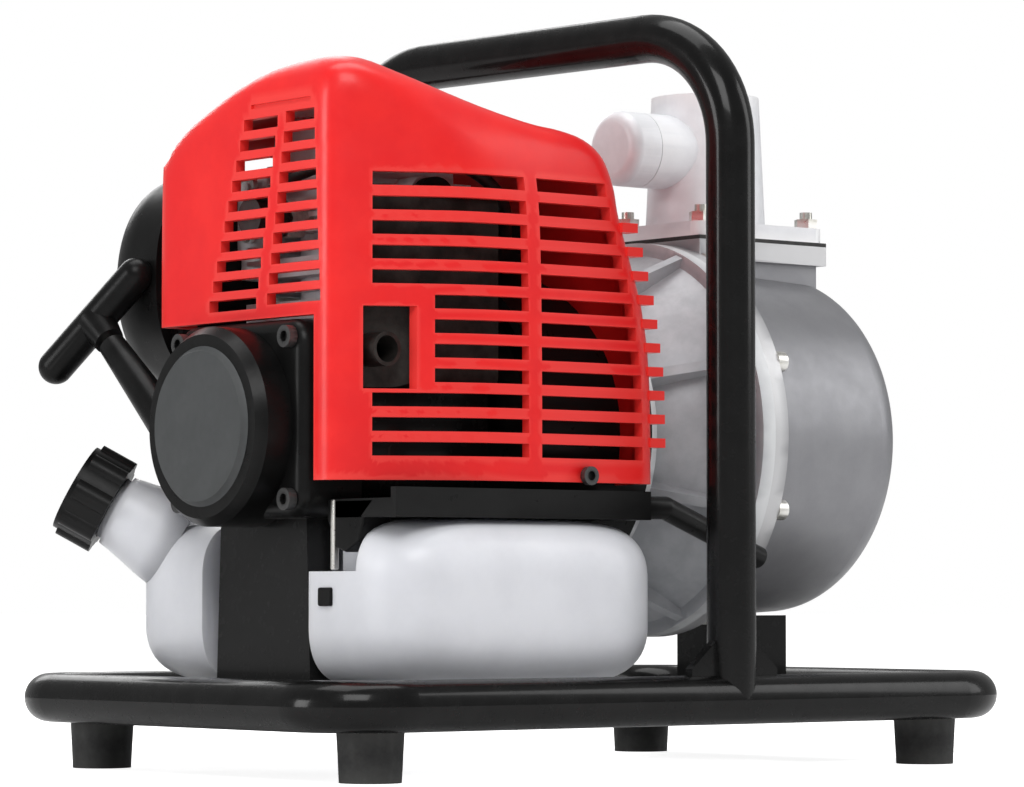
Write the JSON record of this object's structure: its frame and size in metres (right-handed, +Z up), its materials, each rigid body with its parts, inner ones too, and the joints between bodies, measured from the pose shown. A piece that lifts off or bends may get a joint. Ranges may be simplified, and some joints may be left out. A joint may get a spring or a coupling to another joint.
{
  "type": "portable fire pump",
  "caption": "Portable engine-driven water pump: small recoil-start engine with louvred cover and fuel tank, self-priming pump, in a black tubular carrying frame.",
  "frame": {"origin": "on the ground in the middle of the footprint, under the frame loop", "axes": "+Z up, +X towards the pump end, -X towards the recoil starter, +Y towards the air cleaner"},
  "size_m": [0.352, 0.232, 0.297],
  "materials": {
    "black_frame": "gloss powder coat",
    "black_plastic": "satin moulded",
    "red_plastic": "gloss moulded",
    "grey_plastic": "fine satin",
    "switch_plastic": "satin",
    "tank_plastic": "translucent, satin",
    "cast_aluminium": "as cast, fine grain",
    "pump_aluminium": "painted silver casting",
    "zinc_steel": "zinc plated",
    "bearing_steel": "ground",
    "heat_steel": "heat darkened",
    "rubber": "matte",
    "hose_rubber": "satin",
    "bulb_rubber": "translucent soft",
    "filter_foam": "open foam",
    "rope_fibre": "braided",
    "gasket": "matte"
  },
  "bodies": {
    "chassis": {"base_loop": "black_frame", "carry_handle": "black_frame", "cross_plate_engine_end": "black_frame", "cross_plate_pump_end": "black_frame", "rubber_feet": "rubber", "foot_bolts": "zinc_steel", "engine_stand": "black_frame", "pump_foot": "black_frame", "fuel_tank": "tank_plastic", "tank_guard": "black_plastic", "fuel_hose": "hose_rubber", "crankcase": "cast_aluminium", "cylinder_block": "cast_aluminium", "head_cover": "cast_aluminium", "crank_bearings": "bearing_steel", "spark_plug": "zinc_steel", "plug_cap": "hose_rubber", "ignition_coil": "black_plastic", "ignition_lead": "hose_rubber", "muffler": "heat_steel", "carburettor": "cast_aluminium", "air_cleaner_base": "black_plastic", "filter_element": "filter_foam", "fan_cover": "cast_aluminium", "top_cover": "red_plastic", "recoil_housing": "black_plastic", "recoil_emblem": "grey_plastic", "recoil_spring": "bearing_steel", "starter_rope": "rope_fibre", "pump_bracket": "cast_aluminium", "shaft_seal": "hose_rubber", "pump_casing": "pump_aluminium", "suction_port": "pump_aluminium", "volute": "pump_aluminium", "casing_bolts": "zinc_steel", "discharge_gasket": "gasket", "discharge_port": "pump_aluminium", "discharge_bolts": "zinc_steel", "cover_screws": "zinc_steel"},
    "crank": {"crankshaft": "bearing_steel", "starter_cup": "zinc_steel", "flywheel_fan": "cast_aluminium", "impeller": "cast_aluminium"},
    "piston_set": {"piston": "cast_aluminium", "piston_rings": "bearing_steel", "wrist_pin": "bearing_steel"},
    "rod": {"connecting_rod": "cast_aluminium", "crank_pin": "bearing_steel"},
    "reel": {"starter_reel": "switch_plastic"},
    "grip": {"starter_grip": "black_plastic"},
    "fuel_cap": {"fuel_cap": "black_plastic"},
    "priming_plug": {"priming_plug": "pump_aluminium"},
    "drain_plug": {"drain_plug": "pump_aluminium"},
    "oil_filler_cap": {"oil_filler_cap": "black_plastic"},
    "choke_lever": {"choke_lever": "zinc_steel"},
    "throttle_lever": {"throttle_lever": "zinc_steel"},
    "primer_bulb": {"primer_bulb": "bulb_rubber"},
    "engine_switch": {"engine_switch": "switch_plastic"},
    "check_valve_flap": {"check_valve_flap": "hose_rubber"},
    "air_cleaner_cover": {"air_cleaner_cover": "black_plastic"}
  },
  "joints": [
    {"name": "crank_spin", "type": "hinge", "parent": "chassis", "child": "crank", "pos_m": [0, 0, 0.132], "axis": [1, 0, 0], "continuous": true},
    {"name": "piston_slide", "type": "slide", "parent": "chassis", "child": "piston_set", "axis": [0, 0, 1], "range_m": [-0.026, 0]},
    {"name": "rod_swing", "type": "hinge", "parent": "piston_set", "child": "rod", "pos_m": [-0.08, 0, 0.195], "axis": [1, 0, 0], "range_deg": [-15, 15]},
    {"name": "starter_pull", "type": "slide", "parent": "chassis", "child": "grip", "axis": [0, 0.765, 0.644], "range_m": [0, 0.6], "stiffness_N_per_m": 12, "springref_m": -0.5, "deforming": ["starter_rope"]},
    {"name": "reel_spin", "type": "hinge", "parent": "chassis", "child": "reel", "pos_m": [0, 0, 0.132], "axis": [1, 0, 0], "range_deg": [0, 1380]},
    {"name": "fuel_cap_turn", "type": "hinge", "parent": "chassis", "child": "fuel_cap", "pos_m": [-0.1345, 0.091, 0.103], "axis": [-0.6781, 0.5521, 0.4851], "range_deg": [0, 450]},
    {"name": "priming_plug_turn", "type": "hinge", "parent": "chassis", "child": "priming_plug", "pos_m": [0.064, 0, 0.252], "axis": [-1, 0, 0], "range_deg": [0, 1080]},
    {"name": "drain_plug_turn", "type": "hinge", "parent": "chassis", "child": "drain_plug", "pos_m": [0.154, 0, 0.078], "axis": [1, 0, 0], "range_deg": [0, 1080]},
    {"name": "oil_filler_turn", "type": "hinge", "parent": "chassis", "child": "oil_filler_cap", "pos_m": [-0.09, 0.046, 0.122], "axis": [0, 1, 0], "range_deg": [0, 1080]},
    {"name": "choke_turn", "type": "hinge", "parent": "chassis", "child": "choke_lever", "pos_m": [-0.096, 0.05, 0.23], "axis": [-1, 0, 0], "range_deg": [0, 45]},
    {"name": "throttle_turn", "type": "hinge", "parent": "chassis", "child": "throttle_lever", "pos_m": [-0.064, 0.05, 0.23], "axis": [-1, 0, 0], "range_deg": [0, 45]},
    {"name": "primer_press", "type": "slide", "parent": "chassis", "child": "primer_bulb", "axis": [0, 0, 1], "range_m": [0, 0.004], "stiffness_N_per_m": 900, "springref_m": -0.001},
    {"name": "switch_rock", "type": "hinge", "parent": "chassis", "child": "engine_switch", "pos_m": [-0.02, 0.054, 0.215], "axis": [1, 0, 0], "range_deg": [-6, 6]},
    {"name": "flap_swing", "type": "hinge", "parent": "chassis", "child": "check_valve_flap", "pos_m": [0.1425, 0, 0.171], "axis": [0, 1, 0], "range_deg": [0, 45]},
    {"name": "cleaner_cover_open", "type": "hinge", "parent": "chassis", "child": "air_cleaner_cover", "pos_m": [-0.087, 0.0693, 0.148], "axis": [-1, 0, 0], "range_deg": [0, 85]}
  ],
  "couplings": [
    {"joint": "reel_spin", "follows": "starter_pull", "rad_per_m": 40}
  ]
}
